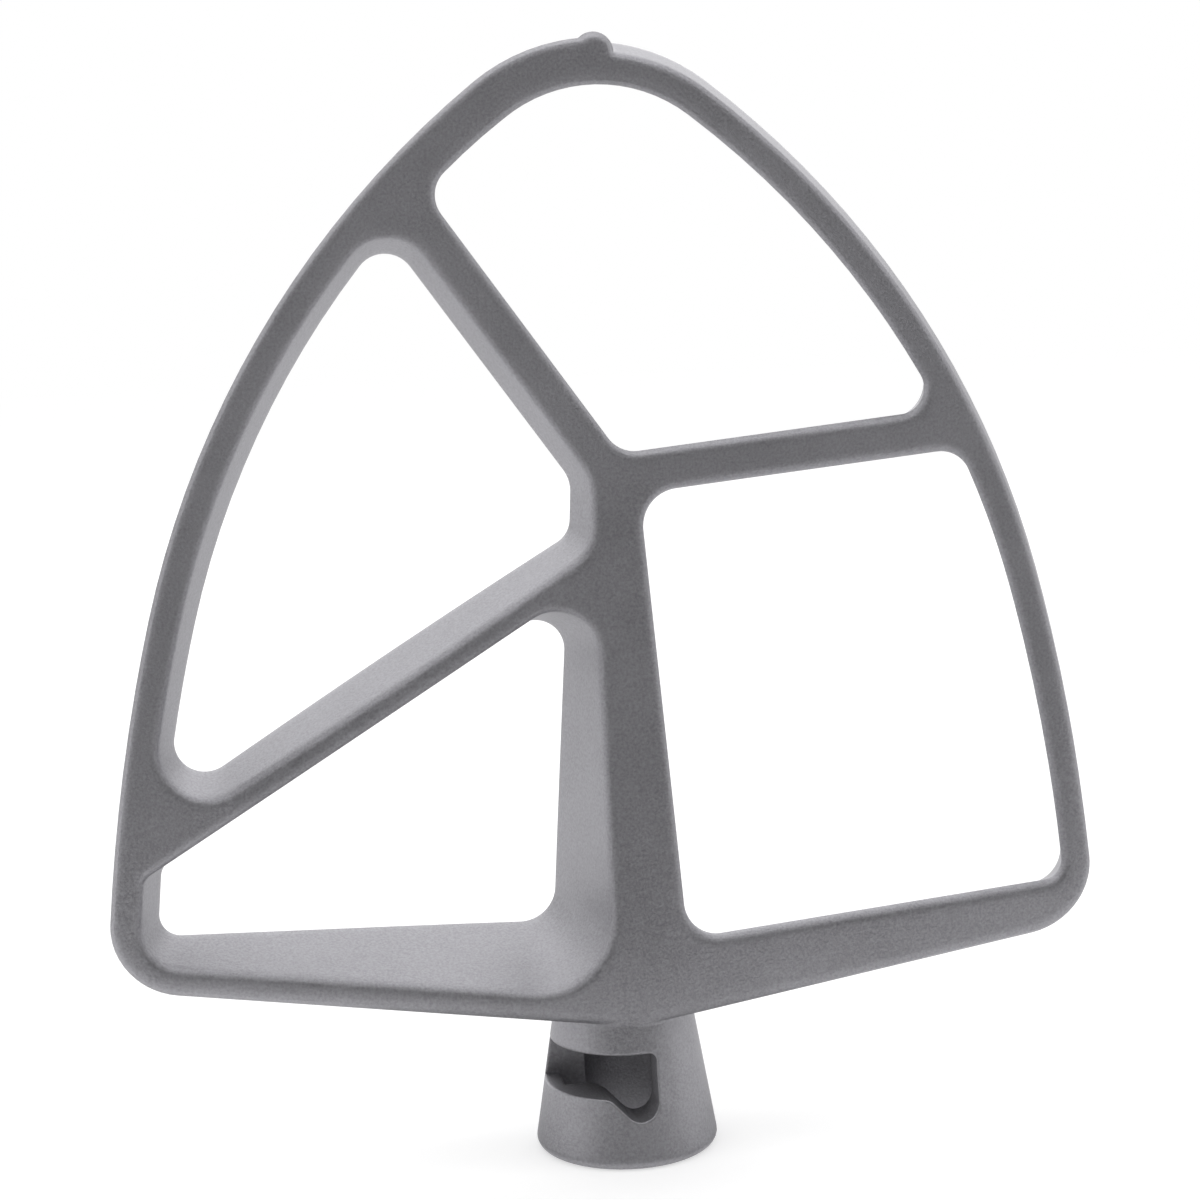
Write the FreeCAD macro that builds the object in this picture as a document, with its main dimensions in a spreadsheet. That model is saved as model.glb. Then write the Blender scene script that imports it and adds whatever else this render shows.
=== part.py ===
import FreeCAD, Part
import math
import os
import Sketcher

# A flat beater: one open casting that hangs in a mixing bowl. Here it stands hub down, tip up.
# The origin is the centre of the hub's mouth, +Z runs up the bore, X is the width and Y the thickness.

doc = FreeCAD.newDocument("flat_beater")
sizes = doc.addObject("Spreadsheet::Sheet", "Sizes")

SIZES = (
    ("tip_height", 163.3, "top of the arch above the mouth"),
    ("tip_radius", 28.55, "radius of the arch's top"),
    ("tip_angle", 37.5, "half angle of the tip arc, from the vertical"),
    ("crown_radius", 137.95, "radius of the upper sides"),
    ("crown_angle", 75.0, "angle from the vertical where the crown arc ends"),
    ("flank_radius", 274.55, "radius of the lower sides"),
    ("foot_radius", 10.0, "rounding of the two low outer corners"),
    ("heel_height", 20.8, "lowest point of the web's under side"),
    ("heel_slope", 7.1, "rise of the under side toward the corners, degrees"),
    ("rim_width", 4.45, "width of the outer rim"),
    ("crest_width", 6.8, "width of the rim's front face left of the upper right window"),
    ("draft", 18.6, "slant of the walls of the casting, degrees"),
    ("slack_draft", 8.0, "smaller slant of the shaded walls, degrees"),
    ("rim_thickness", 7.7, "thickness of the rim"),
    ("heart_thickness", 22.2, "thickness over the hub, where the two faces would meet in a point"),
    ("heart_rise", 1.2, "height of the thickest point above the heel"),
    ("face_slope", 5.43, "fall of each face away from the thickest point, degrees"),
    ("face_blend", 100.0, "radius that eases the face at its middle and at the rim"),
    ("keen_bevel", 0.9, "bevel of the face's edges where the wall leans back under it"),
    ("blunt_bevel", 0.5, "bevel of the face's edges where the wall leans out from it"),
    ("post_half_foot", 6.1, "half width of the post in the middle plane, at the heart"),
    ("post_half_head", 3.73, "half width of the post in the middle plane, at its head"),
    ("post_head_drop", 66.3, "how far the post's head lies below the top of the arch"),
    ("brace_drop", 69.54, "from the top of the arch down to where the brace's upper wall meets the axis"),
    ("brace_foot", 27.2, "height of that wall above the heel, out at the widest point of the rim"),
    ("brace_width", 5.46, "width of the brace in the middle plane"),
    ("stay_angle", 55.1, "fall of the upper stay"),
    ("stay_drop", 67.96, "from the top of the arch down to where the stay's lower wall meets the axis"),
    ("stay_width", 5.55, "width of the stay in the middle plane"),
    ("spoke_angle", 5.25, "rise of the right spoke"),
    ("spoke_drop", 65.15, "from the top of the arch down to where the spoke's lower wall meets the axis"),
    ("spoke_width", 5.38, "width of the spoke in the middle plane"),
    ("floor_slope", 5.2, "rise of the windows' lower walls"),
    ("left_rail", 7.67, "height of the left lower wall above the heel, at the axis"),
    ("right_rail", 8.5, "height of the right lower wall above the heel, at the axis"),
    ("brace_post_round", 5.0, "upper left window, corner of brace and post"),
    ("post_stay_round", 6.3, "upper left window, corner of post and stay"),
    ("stay_rim_round", 5.55, "upper left window, corner of stay and rim"),
    ("rim_brace_round", 5.6, "upper left window, corner of rim and brace"),
    ("heel_post_round", 8.0, "lower left window, corner beside the hub"),
    ("post_brace_round", 5.3, "lower left window, corner under the brace at the post"),
    ("brace_rim_round", 2.8, "lower left window, corner under the brace at the rim"),
    ("left_foot_round", 4.6, "lower left window, outer corner"),
    ("right_foot_round", 4.1, "lower right window, outer corner"),
    ("rim_spoke_round", 5.4, "lower right window, corner of rim and spoke"),
    ("spoke_post_round", 6.4, "lower right window, corner of spoke and post"),
    ("post_floor_round", 7.7, "lower right window, corner beside the hub"),
    ("spoke_rim_round", 4.5, "upper right window, corner of spoke and rim"),
    ("crest_stay_round", 4.95, "upper right window, corner of rim and stay"),
    ("stay_spoke_round", 5.5, "upper right window, corner of stay and spoke"),
    ("step_offset", 1.5, "how far each half runs past the axis at the tip"),
    ("nub_radius", 2.9, "radius of the nub on the tip"),
    ("nub_drop", 2.4, "how far the nub's axis lies below the top of the arch"),
    ("hub_mouth_radius", 13.85, "outer radius of the hub at its mouth"),
    ("hub_slope", 9.2, "taper of the hub, degrees"),
    ("hub_mouth_round", 1.4, "rounding of the outer edge of the mouth"),
    ("bore_radius", 6.45, "radius of the shaft bore"),
    ("bore_depth", 24.0, "depth of the bore"),
    ("bore_chamfer", 0.7, "chamfer of the bore's mouth"),
    ("keyway_half", 2.9, "half width of the channel that lets the cross pin in"),
    ("keyway_reach", 9.6, "distance of the channel's bottom from the axis"),
    ("slot_top", 16.8, "upper wall of the side slot"),
    ("slot_bottom", 10.35, "lower wall of the side slot"),
    ("slot_end", 3.1, "end wall of the side slot"),
    ("notch_bottom", 7.0, "bottom of the notch that holds the pin"),
    ("notch_radius", 2.7, "radius of the notch"),
    ("notch_fall", 45.0, "slope of the wall that drops into the notch, degrees"),
    ("slot_corner", 1.2, "rounding of the slot's upper corner"),
    ("notch_lip", 1.8, "rounding where the slot drops into the notch"),
    ("hub_seat", 3.2, "how far the hub runs up into the web"),
)

for row, (alias, value, note) in enumerate(SIZES, start=1):
    sizes.set(f"A{row}", alias)
    sizes.set(f"B{row}", str(value))
    sizes.set(f"C{row}", note)
    sizes.setAlias(f"B{row}", alias)
doc.recompute()
size = {alias: float(sizes.get(alias)) for alias, value, note in SIZES}


def cell(alias):
    """The expression that reads one cell of the sheet."""
    return f"<<Sizes>>.{alias}"


def tangent(degrees):
    return math.tan(math.radians(degrees))


def direction(degrees):
    return FreeCAD.Vector(math.cos(math.radians(degrees)), math.sin(math.radians(degrees)), 0)


# Points closer than this are in one place, and a real cut takes away more than this volume.
NEAR = 0.001
LEAST_CUT = 1.0

# Half the depth of the moulded block that the two faces are then cut from.
SPARE = 1.0
block = size["heart_thickness"] / 2 + SPARE
half_rim = size["rim_thickness"] / 2
slant = tangent(size["draft"])
slack = tangent(size["slack_draft"])

# Heights that follow the heel or the tip.
heart_height = size["heel_height"] + size["heart_rise"]
left_floor = size["heel_height"] + size["left_rail"]
right_floor = size["heel_height"] + size["right_rail"]
nub_height = size["tip_height"] - size["nub_drop"]
post_head = size["tip_height"] - size["post_head_drop"]
brace_top = size["tip_height"] - size["brace_drop"]
stay_foot = size["tip_height"] - size["stay_drop"]
spoke_foot = size["tip_height"] - size["spoke_drop"]


# An outline is a closed run of walls, counter-clockwise, drawn in X and Z.
# A wall is a straight line or a circle that bulges outward. Its growth is how far it moves
# outward for each millimetre toward the back: every wall has the slant of its own mould half.

def line_wall(height, angle, growth, across=0.0):
    """A straight wall through a point at this height, this far across from the axis."""
    point = FreeCAD.Vector(across, height, 0)
    return {"point": point, "along": direction(angle), "growth": growth}


def arc_wall(centre, radius, growth):
    return {"centre": centre, "radius": radius, "growth": growth}


def moved(wall, outward):
    """The same wall, set outward by a distance."""
    if "radius" in wall:
        return dict(wall, radius=wall["radius"] + outward)
    along = wall["along"]
    normal = FreeCAD.Vector(along.y, -along.x, 0)
    return dict(wall, point=wall["point"] + normal * outward)


def meet(first, second):
    """The point where one wall ends and the next begins."""
    if "along" in first and "along" in second:
        gap = second["point"] - first["point"]
        turn = first["along"].x * second["along"].y - first["along"].y * second["along"].x
        run = (gap.x * second["along"].y - gap.y * second["along"].x) / turn
        return first["point"] + first["along"] * run
    if "radius" in first and "radius" in second:
        gap = second["centre"] - first["centre"]
        reach = (gap.Length ** 2 + first["radius"] ** 2 - second["radius"] ** 2) / (2 * gap.Length)
        rise = math.sqrt(first["radius"] ** 2 - reach ** 2)
        axis = gap / gap.Length
        return first["centre"] + axis * reach + FreeCAD.Vector(-axis.y, axis.x, 0) * rise
    line, circle, sign = (first, second, 1) if "along" in first else (second, first, -1)
    gap = circle["centre"] - line["point"]
    foot = gap.dot(line["along"])
    half = math.sqrt(circle["radius"] ** 2 - gap.Length ** 2 + foot ** 2)
    return line["point"] + line["along"] * (foot + sign * half)


def flow(first, second):
    """The point where two walls run into each other without a corner."""
    if "along" in first:
        return touch(first, second["centre"])
    if "along" in second:
        return touch(second, first["centre"])
    wide, tight = (first, second) if first["radius"] > second["radius"] else (second, first)
    way = (tight["centre"] - wide["centre"]).normalize()
    return wide["centre"] + way * wide["radius"]


def touch(wall, centre):
    """The point where a rounding about the given centre leaves the wall."""
    if "radius" in wall:
        return wall["centre"] + (centre - wall["centre"]).normalize() * wall["radius"]
    return wall["point"] + wall["along"] * (centre - wall["point"]).dot(wall["along"])


def arc(centre, radius, start, end):
    first = math.atan2(start.y - centre.y, start.x - centre.x)
    last = math.atan2(end.y - centre.y, end.x - centre.x)
    if last < first:
        last += 2 * math.pi
    return Part.ArcOfCircle(Part.Circle(centre, FreeCAD.Vector(0, 0, 1), radius), first, last)


SHARP = (0.0, 0.0)
SMOOTH = None


def outline(walls, roundings, depth):
    """Edges of the outline at one depth. Each rounding joins its wall to the next one, and holds
    its radius in the middle plane and how much it grows for each millimetre toward the back.
    A negative radius rounds a corner that points into the outline."""
    here = [moved(wall, wall["growth"] * depth) for wall in walls]
    joints = []
    for wall, following, rounding in zip(here, here[1:] + here[:1], roundings):
        if rounding is SMOOTH:
            corner = flow(wall, following)
            joints.append((corner, corner, None, 0.0))
        elif rounding == SHARP:
            corner = meet(wall, following)
            joints.append((corner, corner, None, 0.0))
        else:
            radius = rounding[0] + rounding[1] * depth
            centre = meet(moved(wall, -radius), moved(following, -radius))
            joints.append((touch(wall, centre), touch(following, centre), centre, radius))
    edges = []
    for index, wall in enumerate(here):
        start = joints[index - 1][1]
        end, corner_end, centre, radius = joints[index]
        if "radius" in wall:
            edges.append(arc(wall["centre"], wall["radius"], start, end))
        else:
            edges.append(Part.LineSegment(start, end))
        if radius > 0:
            edges.append(arc(centre, radius, end, corner_end))
        if radius < 0:
            edges.append(arc(centre, -radius, corner_end, end))
    return edges


def origin_item(body, role):
    return [item for item in body.Origin.OriginFeatures if item.Role == role][0]


def sketch_on(body, name, role, offset):
    """An empty sketch on one of the body's own planes, set off along the plane's normal."""
    sketch = body.newObject("Sketcher::SketchObject", name)
    sketch.AttachmentSupport = (origin_item(body, role), [""])
    sketch.MapMode = "FlatFace"
    sketch.AttachmentOffset = FreeCAD.Placement(FreeCAD.Vector(0, 0, offset), FreeCAD.Rotation())
    return sketch


def held(sketch, edges):
    """Puts edges in a sketch and holds each where the sizes put it."""
    sketch.addGeometry(edges, False)
    for index in range(len(edges)):
        sketch.addConstraint(Sketcher.Constraint("Block", index))


def closed_run(points):
    ends = points[1:] + points[:1]
    return [Part.LineSegment(start, end) for start, end in zip(points, ends)]


def drafted(body, kind, name, walls, roundings):
    """A ruled block between the outline in front and the outline at the back."""
    front = sketch_on(body, name + "Front", "XZ_Plane", block)
    held(front, outline(walls, roundings, -block))
    back = sketch_on(body, name + "Back", "XZ_Plane", -block)
    held(back, outline(walls, roundings, block))
    loft = body.newObject(f"PartDesign::{kind}Loft", name)
    loft.Profile = front
    loft.Sections = [back]
    loft.Ruled = True
    doc.recompute()
    return loft


def half_turn(body, feature, name):
    """The same feature once more, turned half round the axis: the casting is alike both ways."""
    pattern = body.newObject("PartDesign::PolarPattern", name)
    pattern.Originals = [feature]
    pattern.Axis = (origin_item(body, "Z_Axis"), [""])
    pattern.Angle = 360
    pattern.Occurrences = 2
    body.Tip = pattern
    doc.recompute()
    return pattern


body = doc.addObject("PartDesign::Body", "flat_beater")
body.Label = "flat_beater"

# The three arcs of the outer edge, for the side at +X. The left half mirrors them.
tip_centre = FreeCAD.Vector(0, size["tip_height"] - size["tip_radius"], 0)
crown_step = size["crown_radius"] - size["tip_radius"]
crown_centre = tip_centre - direction(90 - size["tip_angle"]) * crown_step
flank_step = size["flank_radius"] - size["crown_radius"]
flank_centre = crown_centre - direction(90 - size["crown_angle"]) * flank_step
left_crown = FreeCAD.Vector(-crown_centre.x, crown_centre.y, 0)
left_flank = FreeCAD.Vector(-flank_centre.x, flank_centre.y, 0)

# Half of the block: its outer edge is widest in front and narrows toward the back. It runs past
# the axis by a small step, which the nub at the tip covers. The other half is the same, turned.
lean = slant * half_rim
block_walls = (
    line_wall(0, 90, 0, size["step_offset"]),
    arc_wall(tip_centre, size["tip_radius"] - lean, -slant),
    arc_wall(left_crown, size["crown_radius"] - lean, -slant),
    arc_wall(left_flank, size["flank_radius"] - lean, -slant),
    line_wall(size["heel_height"] / 2, 0, 0),
)
half_block = drafted(body, "Additive", "HalfWeb", block_walls, (SHARP, SMOOTH, SMOOTH, SHARP, SHARP))
web = half_turn(body, half_block, "WholeWeb")

# The under side rises from the heel to both outer corners.
span = 2 * size["tip_height"]
heel_rise = span / 2 * tangent(size["heel_slope"])
under = (
    FreeCAD.Vector(0, size["heel_height"], 0),
    FreeCAD.Vector(span / 2, size["heel_height"] + heel_rise, 0),
    FreeCAD.Vector(span / 2, -size["heel_height"], 0),
    FreeCAD.Vector(-span / 2, -size["heel_height"], 0),
    FreeCAD.Vector(-span / 2, size["heel_height"] + heel_rise, 0),
)
under_sketch = sketch_on(body, "UnderSideSketch", "XZ_Plane", 0)
held(under_sketch, closed_run(list(under)))
under_side = body.newObject("PartDesign::Pocket", "UnderSide")
under_side.Profile = under_sketch
under_side.Type = "ThroughAll"
under_side.Midplane = True
doc.recompute()

# The two low outer corners.
def feet(shape):
    """Names of the edges that run through the thickness at the low outer corners."""
    far = max(abs(shape.BoundBox.XMin), shape.BoundBox.XMax)
    names = []
    for index, edge in enumerate(shape.Edges, start=1):
        box = edge.BoundBox
        outside = min(abs(box.XMin), abs(box.XMax)) > far / 2
        if outside and box.YLength > block and box.ZMax < size["tip_height"] / 2:
            names.append(f"Edge{index}")
    return names


foot_edges = body.newObject("PartDesign::Fillet", "FeetRound")
foot_edges.Base = (under_side, feet(under_side.Shape))
foot_edges.Radius = size["foot_radius"]
foot_edges.setExpression("Radius", cell("foot_radius"))
doc.recompute()

# Walls that several windows share.
post_lean = math.degrees(math.atan2(size["post_half_foot"] - size["post_half_head"],
                                    post_head - heart_height))
half_width = flank_centre.x + size["flank_radius"]
brace_rise = brace_top - size["heel_height"] - size["brace_foot"]
brace_angle = math.degrees(math.atan2(brace_rise, half_width))
brace_under = brace_top - size["brace_width"] / math.cos(math.radians(brace_angle))
stay_over = stay_foot + size["stay_width"] / math.cos(math.radians(size["stay_angle"]))
spoke_over = spoke_foot + size["spoke_width"] / math.cos(math.radians(size["spoke_angle"]))
inset = size["rim_width"] + lean


def rim_walls(crown, flank, growth):
    upper = arc_wall(crown, size["crown_radius"] - inset, growth)
    lower = arc_wall(flank, size["flank_radius"] - inset, growth)
    return upper, lower


def post_wall(side, growth):
    """The post's wall on one side, followed upward on the left and downward on the right."""
    angle = 90 - post_lean if side < 0 else post_lean - 90
    return line_wall(heart_height, angle, growth, side * size["post_half_foot"])


# Left windows: wide in front and narrower toward the back.
left_crown_wall, left_flank_wall = rim_walls(left_crown, left_flank, -slant)
left_post = post_wall(-1, -slant)
upper_left_walls = (
    line_wall(brace_top, brace_angle, -slant),
    left_post,
    line_wall(stay_foot, 180 - size["stay_angle"], -slant),
    left_crown_wall,
    left_flank_wall,
)
upper_left_rounds = (
    (size["brace_post_round"], -slant),
    (size["post_stay_round"], -slant),
    (size["stay_rim_round"], -slant),
    SMOOTH,
    (size["rim_brace_round"], -slant),
)
drafted(body, "Subtractive", "UpperLeftWindow", upper_left_walls, upper_left_rounds)

lower_left_walls = (
    line_wall(left_floor, -size["floor_slope"], -slant),
    left_post,
    line_wall(brace_under, 180 + brace_angle, -slack),
    left_flank_wall,
)
lower_left_rounds = (
    (size["heel_post_round"], -slant),
    (size["post_brace_round"], -slack),
    (size["brace_rim_round"], slack),
    (size["left_foot_round"], -slant),
)
drafted(body, "Subtractive", "LowerLeftWindow", lower_left_walls, lower_left_rounds)

# Right windows: narrower in front and wide at the back.
right_crown_wall, right_flank_wall = rim_walls(crown_centre, flank_centre, slant)
half_slant = (slant + slack) / 2
lower_right_walls = (
    line_wall(right_floor, size["floor_slope"], slant),
    right_flank_wall,
    right_crown_wall,
    line_wall(spoke_foot, 180 + size["spoke_angle"], slack),
    post_wall(1, slant),
)
lower_right_rounds = (
    (size["right_foot_round"], slant),
    SMOOTH,
    (size["rim_spoke_round"], half_slant),
    (size["spoke_post_round"], half_slant),
    (size["post_floor_round"], slant),
)
drafted(body, "Subtractive", "LowerRightWindow", lower_right_walls, lower_right_rounds)

# The upper right window reaches past the tip. Its left wall goes straight through.
upper_right_walls = (
    line_wall(spoke_over, size["spoke_angle"], slack),
    right_crown_wall,
    arc_wall(left_crown, size["crown_radius"] - size["crest_width"], 0),
    line_wall(stay_over, -size["stay_angle"], slant),
)
upper_right_rounds = (
    (size["spoke_rim_round"], half_slant),
    (size["tip_radius"] - size["crest_width"], 0),
    (size["crest_stay_round"], slant / 2),
    (size["stay_spoke_round"], half_slant),
)
drafted(body, "Subtractive", "UpperRightWindow", upper_right_walls, upper_right_rounds)

# The faces. Each falls away from the heart of the casting like a shallow cone and runs out flat
# on the rim. What lies in front of the face is cut from the block by a full turn about the line
# through the heart along Y, and the same is done behind.
face_angle = size["face_slope"]
blend = size["face_blend"]
half_heart = size["heart_thickness"] / 2
ease = blend * tangent(face_angle / 2)
bend_point = FreeCAD.Vector((half_heart - half_rim) / tangent(face_angle), -half_rim, 0)
bend_start = bend_point - direction(face_angle) * ease
bend_end = bend_point + FreeCAD.Vector(ease, 0, 0)
bend_centre = bend_end - FreeCAD.Vector(0, blend, 0)
dome_centre = FreeCAD.Vector(0, blend / math.cos(math.radians(face_angle)) - half_heart, 0)
dome_start = dome_centre - FreeCAD.Vector(0, blend, 0)
dome_end = dome_centre + direction(face_angle - 90) * blend
clear = 2 * block
face_edges = [
    arc(dome_centre, blend, dome_start, dome_end),
    Part.LineSegment(dome_end, bend_start),
    arc(bend_centre, blend, bend_end, bend_start),
    Part.LineSegment(bend_end, FreeCAD.Vector(span / 2, -half_rim, 0)),
    Part.LineSegment(FreeCAD.Vector(span / 2, -half_rim, 0), FreeCAD.Vector(span / 2, -clear, 0)),
    Part.LineSegment(FreeCAD.Vector(span / 2, -clear, 0), FreeCAD.Vector(0, -clear, 0)),
    Part.LineSegment(FreeCAD.Vector(0, -clear, 0), dome_start),
]
face_sketch = sketch_on(body, "FaceSketch", "XY_Plane", 0)
face_sketch.AttachmentOffset = FreeCAD.Placement(FreeCAD.Vector(0, 0, heart_height),
                                                 FreeCAD.Rotation(FreeCAD.Vector(0, 1, 0), 90))
held(face_sketch, face_edges)
front_face = body.newObject("PartDesign::Groove", "FrontFace")
front_face.Profile = face_sketch
front_face.ReferenceAxis = (face_sketch, ["V_Axis"])
front_face.Angle = 360
doc.recompute()
faced = half_turn(body, front_face, "BothFaces")


def face_height(across, height):
    """Half the thickness of the casting at a point seen from the front."""
    reach = math.hypot(across, height - heart_height)
    if reach < dome_end.x:
        return math.sqrt(blend ** 2 - reach ** 2) - dome_centre.y
    if reach < bend_start.x:
        return half_heart - reach * tangent(face_angle)
    if reach < bend_end.x:
        return blend - math.sqrt(blend ** 2 - (bend_end.x - reach) ** 2) + half_rim
    return half_rim


def on_face(points):
    """Whether all points lie on the front face, or all on the back face."""
    gaps = [abs(abs(point.y) - face_height(point.x, point.z)) for point in points]
    return max(gaps) < NEAR and abs(sum(math.copysign(1, point.y) for point in points)) == len(points)


def faces_between(shape, edge):
    """Cosine of the angle between the outward normals of the two faces that share an edge."""
    middle = edge.valueAt((edge.FirstParameter + edge.LastParameter) / 2)
    beside = shape.ancestorsOfType(edge, Part.Face)
    normals = [face.normalAt(*face.Surface.parameter(middle)) for face in beside]
    return normals[0].dot(normals[1])


def face_rims(shape, sharpest, bluntest):
    """Names of the edges where a face of the casting turns into a wall, by how sharply it turns."""
    names = []
    for index, edge in enumerate(shape.Edges, start=1):
        if not on_face([vertex.Point for vertex in edge.Vertexes]):
            continue
        beside = shape.ancestorsOfType(edge, Part.Face)
        flat = [on_face([vertex.Point for vertex in face.Vertexes]) for face in beside]
        if flat.count(True) == 1 and len(flat) == 2 and sharpest < faces_between(shape, edge) < bluntest:
            names.append(f"Edge{index}")
    return names


def eased(body, base, name, names, alias):
    """A bevel along edges of the casting, of a width from the sheet."""
    bevel = body.newObject("PartDesign::Chamfer", name)
    bevel.Base = (base, names)
    bevel.Size = size[alias]
    bevel.setExpression("Size", cell(alias))
    doc.recompute()
    return bevel


# The keen edges lie where a wall leans back under the face, the blunt ones where it leans out.
# Edges that turn by less than the shallow angle are only seams of the face.
KEEN_SHARE = 0.95
SHALLOW_TURN = 60
keen_turn = -math.sin(math.radians(size["draft"])) * KEEN_SHARE
blunt_turn = math.cos(math.radians(SHALLOW_TURN))
keen = eased(body, faced, "KeenEdges", face_rims(faced.Shape, -1, keen_turn), "keen_bevel")
blunt = eased(body, keen, "BluntEdges", face_rims(keen.Shape, keen_turn, blunt_turn), "blunt_bevel")

# The nub on the tip: a short round bar across the rim with bevelled ends, flush with both faces.
nub_edge = size["nub_radius"] - size["keen_bevel"]
nub_side = half_rim - size["keen_bevel"]
nub_points = (
    FreeCAD.Vector(-half_rim, 0, 0),
    FreeCAD.Vector(half_rim, 0, 0),
    FreeCAD.Vector(half_rim, nub_edge, 0),
    FreeCAD.Vector(nub_side, size["nub_radius"], 0),
    FreeCAD.Vector(-nub_side, size["nub_radius"], 0),
    FreeCAD.Vector(-half_rim, nub_edge, 0),
)
nub_sketch = sketch_on(body, "NubSketch", "YZ_Plane", 0)
nub_sketch.AttachmentOffset = FreeCAD.Placement(FreeCAD.Vector(0, nub_height, 0), FreeCAD.Rotation())
held(nub_sketch, closed_run(list(nub_points)))
nub = body.newObject("PartDesign::Revolution", "Nub")
nub.Profile = nub_sketch
nub.ReferenceAxis = (nub_sketch, ["H_Axis"])
nub.Angle = 360
doc.recompute()

# The hub: a cone that is widest at its mouth and ends inside the web.
hub_height = f"({cell('heel_height')} + {cell('hub_seat')})"
hub = body.newObject("PartDesign::AdditiveCone", "Hub")
hub.setExpression("Radius1", cell("hub_mouth_radius"))
hub.setExpression("Radius2", f"{cell('hub_mouth_radius')} - {hub_height} * tan({cell('hub_slope')} * 1 deg)")
hub.setExpression("Height", hub_height)
doc.recompute()


def mouth_circle(shape, radius):
    """Name of the edge that runs round the mouth at this radius."""
    for index, edge in enumerate(shape.Edges, start=1):
        if edge.BoundBox.ZMax < NEAR and abs(edge.BoundBox.XMax - radius) < NEAR:
            return [f"Edge{index}"]
    return []


hub_mouth = body.newObject("PartDesign::Fillet", "HubMouthRound")
hub_mouth.Base = (hub, mouth_circle(hub.Shape, size["hub_mouth_radius"]))
hub_mouth.Radius = size["hub_mouth_round"]
hub_mouth.setExpression("Radius", cell("hub_mouth_round"))
doc.recompute()

bore = body.newObject("PartDesign::SubtractiveCylinder", "Bore")
bore.setExpression("Radius", cell("bore_radius"))
bore.setExpression("Height", cell("bore_depth"))
doc.recompute()
bore_mouth = body.newObject("PartDesign::Chamfer", "BoreChamfer")
bore_mouth.Base = (bore, mouth_circle(bore.Shape, size["bore_radius"]))
bore_mouth.Size = size["bore_chamfer"]
bore_mouth.setExpression("Size", cell("bore_chamfer"))
doc.recompute()

# The channel down one side of the bore lets the cross pin of the drive shaft reach the slot.
keyway_points = (
    FreeCAD.Vector(-size["keyway_reach"], -size["keyway_half"], 0),
    FreeCAD.Vector(0, -size["keyway_half"], 0),
    FreeCAD.Vector(0, size["keyway_half"], 0),
    FreeCAD.Vector(-size["keyway_reach"], size["keyway_half"], 0),
)
keyway_sketch = sketch_on(body, "KeywaySketch", "XY_Plane", 0)
held(keyway_sketch, closed_run(list(keyway_points)))
keyway = body.newObject("PartDesign::Pocket", "Keyway")
keyway.Profile = keyway_sketch
keyway.Reversed = True
keyway.Length = size["slot_top"]
keyway.setExpression("Length", cell("slot_top"))
doc.recompute()

# The side slot is cut from the channel's far wall straight out through the front of the hub. The
# pin runs along its floor and drops into the notch at its end.
notch_x = size["slot_end"] - size["notch_radius"]
notch_z = size["notch_bottom"] + size["notch_radius"]
flank = direction(size["notch_fall"]) * size["notch_radius"]
outside = -2 * size["hub_mouth_radius"]
slot_walls = (
    line_wall(size["slot_bottom"], 0, 0),
    line_wall(notch_z - flank.y, -size["notch_fall"], 0, notch_x - flank.x),
    line_wall(0, 90, 0, size["slot_end"]),
    line_wall(size["slot_top"], 180, 0),
    line_wall(0, 270, 0, outside),
)
slot_rounds = (
    (-size["notch_lip"], 0),
    (size["notch_radius"], 0),
    (size["slot_corner"], 0),
    SHARP,
    SHARP,
)
slot_sketch = sketch_on(body, "SlotSketch", "XZ_Plane", -size["keyway_half"])
held(slot_sketch, outline(slot_walls, slot_rounds, 0))
slot = body.newObject("PartDesign::Pocket", "SideSlot")
slot.Profile = slot_sketch
slot.Reversed = True
slot.Length = size["keyway_half"] + size["hub_mouth_radius"]
slot.setExpression("Length", f"{cell('keyway_half')} + {cell('hub_mouth_radius')}")
doc.recompute()

# Each side cut and each added piece has to change the volume the right way.
CUTS = (under_side, front_face, bore, keyway, slot)
ADDED = (nub, hub)
for feature in CUTS + ADDED:
    change = feature.Shape.Volume - feature.BaseFeature.Shape.Volume
    if (feature in CUTS) == (change > 0) or abs(change) < LEAST_CUT:
        raise RuntimeError(f"{feature.Name} changes the volume by {change:.1f}")

for item in doc.Objects:
    if "Invalid" in item.State or "Error" in item.State:
        raise RuntimeError(f"{item.Name} failed: {item.State}")

casting = body.Shape
if casting.isNull() or not casting.isValid() or len(casting.Solids) != 1:
    raise RuntimeError("the casting is not one valid solid")

os.makedirs("parts", exist_ok=True)
casting.exportStep(f"parts/{body.Label}.step")
box = casting.BoundBox
print(f"casting {box.XLength:.1f} x {box.YLength:.1f} x {box.ZLength:.1f} mm, {casting.Volume:.0f} mm3")
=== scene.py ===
import math

import bmesh
import bpy
from mathutils import Matrix, Vector


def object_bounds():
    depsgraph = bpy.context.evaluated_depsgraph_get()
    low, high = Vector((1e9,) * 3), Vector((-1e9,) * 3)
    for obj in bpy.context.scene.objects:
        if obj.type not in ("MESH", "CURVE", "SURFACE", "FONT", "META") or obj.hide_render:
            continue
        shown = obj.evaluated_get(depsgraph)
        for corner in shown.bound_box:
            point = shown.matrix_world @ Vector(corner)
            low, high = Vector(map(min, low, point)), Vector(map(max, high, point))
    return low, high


# The cast metal, as linear colours: the blasted skin, and the arrises painted a little brighter as a
# painted highlight.
CASTING_GREY = (0.361, 0.356, 0.378)
ARRIS_HIGHLIGHT_GREY = (0.385, 0.380, 0.402)
CASTING_METALLIC = 0.85
CASTING_ROUGHNESS = 0.5
GRAIN_CONTRAST = 0.34

# The textures of the skin, in features a metre, and the fineness of the two noises.
GRAIN_SCALE = 2600.0
CLOUD_SCALE = 70.0
DIMPLE_SCALE = 1500.0
PIT_SCALE = 95.0
GRAIN_DETAIL = 2.0
CLOUD_DETAIL = 4.0
NOISE_ROUGHNESS = 0.6

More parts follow.
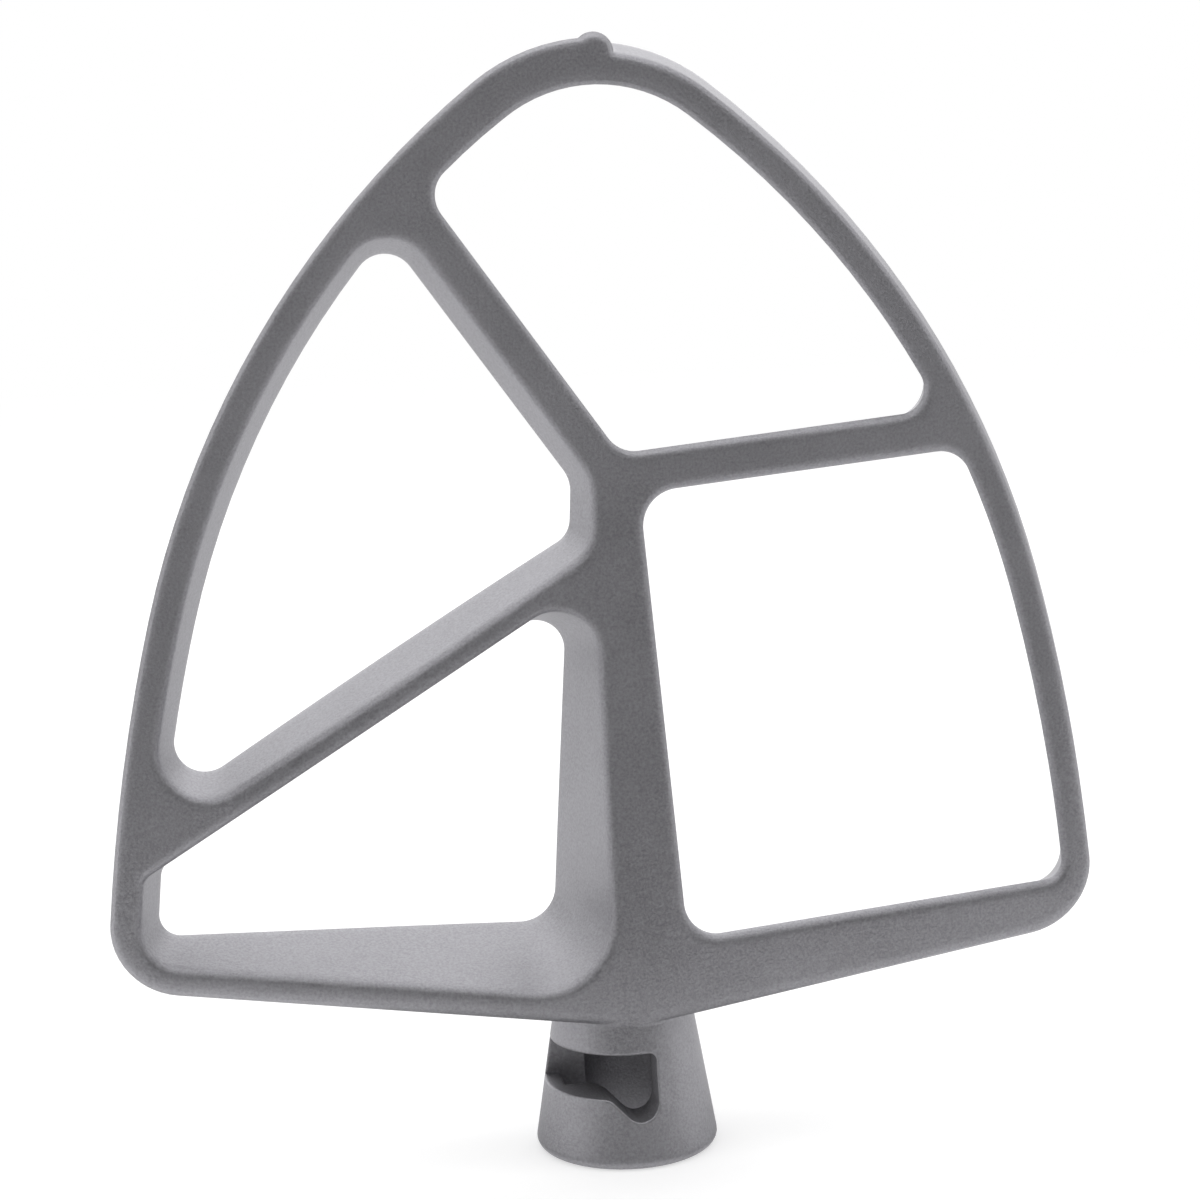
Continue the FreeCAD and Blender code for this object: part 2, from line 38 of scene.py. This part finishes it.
# The part of each noise's range that counts, how far it swings the mottle either way, and how much of
# the mottle goes into the roughness.
GRAIN_RANGE = (0.3, 0.7)
CLOUD_RANGE = (0.35, 0.65)
GRAIN_SWING = 0.5
CLOUD_SWING = 0.15
MOTTLE_ROUGHNESS = 0.10

# A pit's core and edge, in shares of its cell, the share of white above which a cell has one, and the
# painted shade it takes from the grey and what it takes from the height.
PIT_CORE = 0.015
PIT_EDGE = 0.04
PIT_CHOICE = 0.62
PIT_SHADE = -0.35
PIT_DEPTH = -2.0

# The painted highlight on the arrises: its level, how much the clouds change it, and what the arrises' mask
# does to the roughness.
HIGHLIGHT_LEVEL = 0.7
HIGHLIGHT_BY_CLOUDS = 2.0
RUB_ROUGHNESS = -0.08

# The relief: the dimples' share in it, and the strength and height of the bump.
DIMPLE_SHARE = 0.4
BUMP_STRENGTH = 0.3
BUMP_HEIGHT = 0.00008

# Arrises are rounded in the shading: softly on the web, crisply on the hub and its slot.
WEB_ARRIS = 0.0022
HUB_ARRIS = 0.0006
HUB_END = 0.020
WEB_START = 0.022
ARRIS_SAMPLES = 8

# The cosine of the turn from a face's normal to the rounded one, where the arrises' painted highlight and
# lower roughness start and are full.
ARRIS_MASK_START = 0.985
ARRIS_MASK_FULL = 0.90

# The view of the photograph: where the lens stands, where it looks in radians, and its focal length in
# the photo's pixels.
LENS_PLACE = Vector((-0.051607, -0.335455, 0.128341))
LENS_YAW = 0.148821
LENS_PITCH = 0.134224
LENS_ROLL = -0.034935
FOCAL_PIXELS = 2330.98
PHOTO_PIXELS = 1200.0
SENSOR_WIDTH = 36.0
CLIP_NEAR = 0.01
CLIP_FAR = 20.0

# The paper on the floor, with the glow that tops it up to white for the lens, and the room's light.
WHITE = (1.0, 1.0, 1.0, 1.0)
FLOOR_HALF = 3.0
PAPER_GLOW = 0.52
PAPER_WHITE = 0.6
ROOM_LIGHT = 0.8

# Sheets that only the metal's shine sees: felt cards behind the lens and on the floor under it, and a grey
# collar round the hub that is a painted shadow of the beater on the paper. The two on the floor are lifted
# a little off the paper.
FELT_GREY = 0.08
BACK_FLAG_SIDES = (4.6, 1.7)
BACK_FLAG_MIDDLE = (0.2, -1.4, 0.85)
FLOOR_FLAG_SIDES = (0.7, 0.25)
FLOOR_FLAG_MIDDLE = (0.05, -0.21)
FLOOR_FLAG_LIFT = 0.001
COLLAR_SHADOW_GREY = 0.7
COLLAR_RADII = (0.0145, 0.04)
COLLAR_SEGMENTS = 64
COLLAR_LIFT = 0.0002

# The sockets of a colour mix, among those of a mix node: its share and two colours, and its result.
COLOUR_MIX_INPUTS = (0, 6, 7)
COLOUR_MIX_OUTPUT = 2

# The soft lamps, each with its place, its sides and its power in watts. All face the middle of the web.
LAMP_TARGET = Vector((0.0, 0.0, 0.08))
LAMPS = (
    ("overhead", (0.0, 0.0, 0.95), (1.0, 1.0), 2.4),
    ("behind", (0.0, 1.0, 0.65), (1.6, 0.7), 3.6),
    ("left_side", (-0.85, 0.0, 0.30), (0.6, 0.7), 0.25),
    ("right_side", (0.85, 0.0, 0.30), (0.6, 0.7), 0.2),
)


def feed(tree, slot, term):
    """Wires a socket to an input, or sets the input to a value."""
    if isinstance(term, bpy.types.NodeSocket):
        tree.links.new(term, slot)
    else:
        slot.default_value = term


def add(tree, kind, place, **settings):
    """One node, with its properties, and with its inputs set or wired."""
    made = tree.nodes.new(kind)
    made.location = place
    for name, term in settings.items():
        if name in made.bl_rna.properties:
            setattr(made, name, term)
        else:
            feed(tree, made.inputs[name.replace("_", " ")], term)
    return made


def compute(tree, place, operation, *terms, clamp=False):
    """The result of a math node on sockets and numbers."""
    made = add(tree, "ShaderNodeMath", place, operation=operation, use_clamp=clamp)
    for slot, term in zip(made.inputs, terms):
        feed(tree, slot, term)
    return made.outputs[0]


def remap(tree, place, value, given, wanted):
    """The value stretched from one range to another, and held beyond its ends."""
    made = add(tree, "ShaderNodeMapRange", place, Value=value)
    for name, term in zip(("From Min", "From Max", "To Min", "To Max"), (*given, *wanted)):
        made.inputs[name].default_value = term
    return made.outputs["Result"]


def noise(tree, place, where, scale, detail):
    """The strength of a noise at a place."""
    made = add(tree, "ShaderNodeTexNoise", place, Vector=where, Scale=scale, Detail=detail)
    made.inputs["Roughness"].default_value = NOISE_ROUGHNESS
    return made.outputs["Fac"]


def mix_colours(tree, place, share, first, second):
    """The first colour, turned into the second by a share."""
    made = add(tree, "ShaderNodeMix", place, data_type="RGBA")
    for slot, term in zip(COLOUR_MIX_INPUTS, (share, first, second)):
        feed(tree, made.inputs[slot], term)
    return made.outputs[COLOUR_MIX_OUTPUT]


def clear_tree(owner):
    """The empty node tree of a material or a world."""
    owner.use_nodes = True
    owner.node_tree.nodes.clear()
    return owner.node_tree


def new_group(name, inputs, outputs):
    """A node group with its sockets, its input node and its output node."""
    group = bpy.data.node_groups.new(name, "ShaderNodeTree")
    for label, kind, value in inputs:
        socket = group.interface.new_socket(label, in_out="INPUT", socket_type=kind)
        socket.default_value = value
    for label, kind in outputs:
        group.interface.new_socket(label, in_out="OUTPUT", socket_type=kind)
    return group, add(group, "NodeGroupInput", (-900, 0)), add(group, "NodeGroupOutput", (700, 0))


def blasted_skin_group():
    """Bead-blasted cast skin: grain, soft clouds, shallow dimples, a few casting pits in painted shade, and
    a painted highlight on the arrises.
    """
    group, given, result = new_group(
        "blasted_skin",
        [
            ("Grey", "NodeSocketColor", (*CASTING_GREY, 1.0)),
            ("Highlight grey", "NodeSocketColor", (*ARRIS_HIGHLIGHT_GREY, 1.0)),
            ("Roughness", "NodeSocketFloat", CASTING_ROUGHNESS),
            ("Grain", "NodeSocketFloat", GRAIN_CONTRAST),
            ("Arris", "NodeSocketFloat", 0.0),
        ],
        [
            ("Color", "NodeSocketColor"),
            ("Roughness", "NodeSocketFloat"),
            ("Height", "NodeSocketFloat"),
        ],
    )
    where = add(group, "ShaderNodeTexCoord", (-900, -300)).outputs["Object"]
    grain = noise(group, (-650, 250), where, GRAIN_SCALE, GRAIN_DETAIL)
    clouds = noise(group, (-650, 0), where, CLOUD_SCALE, CLOUD_DETAIL)
    dimples = add(group, "ShaderNodeTexVoronoi", (-650, -250), Scale=DIMPLE_SCALE, Vector=where)
    pits = add(group, "ShaderNodeTexVoronoi", (-650, -500), Scale=PIT_SCALE, Vector=where)

    # Fine grain over soft clouds, about zero, scales the grey up and down.
    fine = remap(group, (-420, 250), grain, GRAIN_RANGE, (-GRAIN_SWING, GRAIN_SWING))
    soft = remap(group, (-420, 0), clouds, CLOUD_RANGE, (-CLOUD_SWING, CLOUD_SWING))
    mottle = compute(group, (-200, 150), "ADD", fine, soft)
    gain = compute(group, (0, 150), "MULTIPLY_ADD", mottle, given.outputs["Grain"], 1.0)

    # A pit is the middle of a cell, and only some cells have one.
    core = remap(group, (-420, -450), pits.outputs["Distance"], (PIT_CORE, PIT_EDGE), (1.0, 0.0))
    chosen = compute(group, (-420, -700), "GREATER_THAN", pits.outputs["Color"], PIT_CHOICE)
    pit = compute(group, (-200, -500), "MULTIPLY", core, chosen)
    # The pits are darkened in the grey: painted shade in the hollows.
    dark = compute(group, (0, -400), "MULTIPLY_ADD", pit, PIT_SHADE, gain)

    # The arris gets a painted highlight, stronger where the clouds are high.
    highlight_level = compute(group, (-200, 450), "MULTIPLY_ADD", soft, HIGHLIGHT_BY_CLOUDS, HIGHLIGHT_LEVEL)
    highlight_share = compute(group, (0, 450), "MULTIPLY", given.outputs["Arris"], highlight_level, clamp=True)
    metal = mix_colours(group, (200, 350), highlight_share, given.outputs["Grey"], given.outputs["Highlight grey"])
    shade = add(group, "ShaderNodeVectorMath", (420, 250), operation="SCALE", Scale=dark)
    feed(group, shade.inputs[0], metal)
    feed(group, result.inputs["Color"], shade.outputs["Vector"])

    # The highlighted arris is a little glossier, and the mottle varies the rest.
    keen = compute(group, (200, -50), "MULTIPLY_ADD", highlight_share, RUB_ROUGHNESS, given.outputs["Roughness"])
    coarse = compute(group, (420, -50), "MULTIPLY_ADD", mottle, MOTTLE_ROUGHNESS, keen)
    feed(group, result.inputs["Roughness"], coarse)

    # Height in the bump: dimples under the grain, less the pits.
    dimple = compute(group, (0, -200), "MULTIPLY_ADD", dimples.outputs["Distance"], DIMPLE_SHARE, fine)
    height = compute(group, (200, -300), "MULTIPLY_ADD", pit, PIT_DEPTH, dimple)
    feed(group, result.inputs["Height"], height)
    return group


def arris_mask(tree, rounded):
    """White where the rounded normal leaves the face's own, which is along the arrises."""
    face = add(tree, "ShaderNodeNewGeometry", (-900, -200))
    turn = add(tree, "ShaderNodeVectorMath", (-700, -200), operation="DOT_PRODUCT")
    feed(tree, turn.inputs[0], face.outputs["Normal"])
    feed(tree, turn.inputs[1], rounded)
    return remap(tree, (-500, -200), turn.outputs["Value"], (ARRIS_MASK_START, ARRIS_MASK_FULL), (0.0, 1.0))


def arris_radius(tree):
    """The radius of the arrises at this height: crisp up to the hub's end, soft from the web's start."""
    where = add(tree, "ShaderNodeTexCoord", (-1500, -400))
    split = add(tree, "ShaderNodeSeparateXYZ", (-1300, -400), Vector=where.outputs["Object"])
    return remap(tree, (-1100, -400), split.outputs["Z"], (HUB_END, WEB_START), (HUB_ARRIS, WEB_ARRIS))


def casting_finish():
    """Matte cast aluminium with softly rounded arrises."""
    material = bpy.data.materials.new("blasted_casting")
    tree = clear_tree(material)
    rounded = add(tree, "ShaderNodeBevel", (-900, -400), samples=ARRIS_SAMPLES, Radius=arris_radius(tree))
    skin = add(tree, "ShaderNodeGroup", (-200, 0))
    skin.node_tree = blasted_skin_group()
    feed(tree, skin.inputs["Arris"], arris_mask(tree, rounded.outputs["Normal"]))
    bump = add(tree, "ShaderNodeBump", (100, -200), Strength=BUMP_STRENGTH, Distance=BUMP_HEIGHT)
    feed(tree, bump.inputs["Height"], skin.outputs["Height"])
    feed(tree, bump.inputs["Normal"], rounded.outputs["Normal"])
    metal = add(
        tree,
        "ShaderNodeBsdfPrincipled",
        (300, 0),
        Metallic=CASTING_METALLIC,
        Base_Color=skin.outputs["Color"],
        Roughness=skin.outputs["Roughness"],
        Normal=bump.outputs["Normal"],
    )
    add(tree, "ShaderNodeOutputMaterial", (600, 0), Surface=metal.outputs["BSDF"])
    return material


def seen_by_eye(tree, share):
    """This share of white for what the lens sees, straight, in a shine or through glass."""
    rays = add(tree, "ShaderNodeLightPath", (-600, 300)).outputs
    shine = compute(tree, (-400, 300), "MAXIMUM", rays["Is Camera Ray"], rays["Is Glossy Ray"])
    seen = compute(tree, (-200, 300), "MAXIMUM", shine, rays["Is Transmission Ray"])
    return compute(tree, (0, 300), "MULTIPLY", seen, share)


def paper_finish():
    """White paper: it holds the shadow, and the lens and the metal see it white."""
    material = bpy.data.materials.new("white_paper")
    tree = clear_tree(material)
    paper = add(tree, "ShaderNodeBsdfDiffuse", (0, 100), Color=(PAPER_WHITE, PAPER_WHITE, PAPER_WHITE, 1.0))
    glow = add(tree, "ShaderNodeEmission", (0, -100), Color=WHITE, Strength=seen_by_eye(tree, PAPER_GLOW))
    both = add(tree, "ShaderNodeAddShader", (300, 0))
    feed(tree, both.inputs[0], paper.outputs[0])
    feed(tree, both.inputs[1], glow.outputs[0])
    add(tree, "ShaderNodeOutputMaterial", (600, 0), Surface=both.outputs[0])
    return material


def reflected_grey_finish(name, grey):
    """A matte grey that the metal reflects: felt for the flags, and the painted shadow round the hub."""
    material = bpy.data.materials.new(name)
    tree = clear_tree(material)
    felt = add(tree, "ShaderNodeBsdfDiffuse", (0, 0), Color=(grey, grey, grey, 1.0))
    add(tree, "ShaderNodeOutputMaterial", (300, 0), Surface=felt.outputs[0])
    return material


def new_sheet(name, finish, shape):
    """The object of a finished bmesh, in the scene, with its material."""
    mesh = bpy.data.meshes.new(name)
    shape.to_mesh(mesh)
    shape.free()
    mesh.materials.append(finish)
    sheet = bpy.data.objects.new(name, mesh)
    bpy.context.scene.collection.objects.link(sheet)
    return sheet


def stage_floor(height):
    """The sheet of paper that the beater stands on."""
    shape = bmesh.new()
    bmesh.ops.create_grid(shape, x_segments=1, y_segments=1, size=FLOOR_HALF)
    bmesh.ops.translate(shape, verts=shape.verts, vec=(0, 0, height))
    floor = new_sheet("floor", paper_finish(), shape)


def hide_from_lens(name, finish, shape):
    """A sheet that the metal reflects, felt or painted shadow; the lens never sees it, and it throws no
    shadow.
    """
    card = new_sheet(name, finish, shape)
    card.visible_camera = False
    card.visible_shadow = False
    card.visible_diffuse = False


def felt_card(name, finish, sides, middle, upright):
    """A card of felt, flat on the floor or upright: a square of one metre, scaled to its sides."""
    shape = bmesh.new()
    bmesh.ops.create_grid(shape, x_segments=1, y_segments=1, size=0.5)
    bmesh.ops.scale(shape, verts=shape.verts, vec=(*sides, 1.0))
    if upright:
        bmesh.ops.rotate(shape, verts=shape.verts, matrix=Matrix.Rotation(-math.pi / 2, 3, "X"))
    bmesh.ops.translate(shape, verts=shape.verts, vec=middle)
    hide_from_lens(name, finish, shape)


def painted_shadow_collar(name, finish, height):
    """A grey ring round the hub, a painted shadow where the paper lies in the beater's own shade."""
    shape = bmesh.new()
    for radius in COLLAR_RADII:
        bmesh.ops.create_circle(shape, cap_ends=False, segments=COLLAR_SEGMENTS, radius=radius)
    bmesh.ops.bridge_loops(shape, edges=shape.edges)
    bmesh.ops.translate(shape, verts=shape.verts, vec=(0.0, 0.0, height))
    hide_from_lens(name, finish, shape)


def soft_lamp(name, place, sides, power):
    """A rectangular lamp that faces the middle of the web."""
    light = bpy.data.lights.new(name, "AREA")
    light.shape = "RECTANGLE"
    light.size, light.size_y = sides
    light.energy = power
    lamp = bpy.data.objects.new(name, light)
    aim = LAMP_TARGET - Vector(place)
    lamp.matrix_world = Matrix.Translation(place) @ aim.to_track_quat("-Z", "Y").to_matrix().to_4x4()
    bpy.context.scene.collection.objects.link(lamp)


def studio_air():
    """A grey room that lights everything softly, and that the lens sees as white."""
    world = bpy.data.worlds.new("studio")
    tree = clear_tree(world)
    room = add(tree, "ShaderNodeBackground", (0, 0), Color=WHITE, Strength=ROOM_LIGHT)
    white = add(tree, "ShaderNodeBackground", (0, -200), Color=WHITE, Strength=1.0)
    mix = add(tree, "ShaderNodeMixShader", (300, 0))
    for slot, term in zip(mix.inputs, (seen_by_eye(tree, 1.0), room.outputs[0], white.outputs[0])):
        feed(tree, slot, term)
    add(tree, "ShaderNodeOutputWorld", (600, 0), Surface=mix.outputs[0])
    bpy.context.scene.world = world


def photo_lens():
    """The lens that took the photograph: yaw from the depth axis, pitch down, then roll."""
    ahead = Vector(
        (
            math.sin(LENS_YAW) * math.cos(LENS_PITCH),
            math.cos(LENS_YAW) * math.cos(LENS_PITCH),
            -math.sin(LENS_PITCH),
        )
    )
    level = Vector((math.cos(LENS_YAW), -math.sin(LENS_YAW), 0.0))
    upward = level.cross(ahead)
    right = math.cos(LENS_ROLL) * level + math.sin(LENS_ROLL) * upward
    above = -math.sin(LENS_ROLL) * level + math.cos(LENS_ROLL) * upward
    lens = bpy.data.cameras.new("photo_lens")
    lens.sensor_width = SENSOR_WIDTH
    lens.lens = FOCAL_PIXELS / PHOTO_PIXELS * SENSOR_WIDTH
    lens.clip_start = CLIP_NEAR
    lens.clip_end = CLIP_FAR
    camera = bpy.data.objects.new("photo_lens", lens)
    turn = Matrix((right, above, -ahead)).transposed()
    camera.matrix_world = Matrix.Translation(LENS_PLACE) @ turn.to_4x4()
    bpy.context.scene.collection.objects.link(camera)
    bpy.context.scene.camera = camera


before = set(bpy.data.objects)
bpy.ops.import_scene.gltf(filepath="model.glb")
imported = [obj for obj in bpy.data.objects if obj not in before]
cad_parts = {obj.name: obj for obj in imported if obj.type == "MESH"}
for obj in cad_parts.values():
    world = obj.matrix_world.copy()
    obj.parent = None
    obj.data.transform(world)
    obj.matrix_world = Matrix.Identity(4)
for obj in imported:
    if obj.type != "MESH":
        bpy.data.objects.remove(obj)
cad_low, cad_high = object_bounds()

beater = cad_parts["flat_beater"]
beater.data.materials.clear()
beater.data.materials.append(casting_finish())

stage_floor(cad_low.z)
felt = reflected_grey_finish("black_felt", FELT_GREY)
felt_card("flag_behind_lens", felt, BACK_FLAG_SIDES, BACK_FLAG_MIDDLE, upright=True)
floor_flag_middle = (*FLOOR_FLAG_MIDDLE, cad_low.z + FLOOR_FLAG_LIFT)
felt_card("flag_under_lens", felt, FLOOR_FLAG_SIDES, floor_flag_middle, upright=False)
# The collar is a painted shadow of the beater on the paper, seen only in the metal's reflections.
painted_shadow_collar("collar_round_hub", reflected_grey_finish("painted_shadow_grey", COLLAR_SHADOW_GREY), cad_low.z + COLLAR_LIFT)
studio_air()
for name, place, sides, power in LAMPS:
    soft_lamp(name, place, sides, power)
photo_lens()

bpy.context.scene.view_settings.view_transform = "Standard"
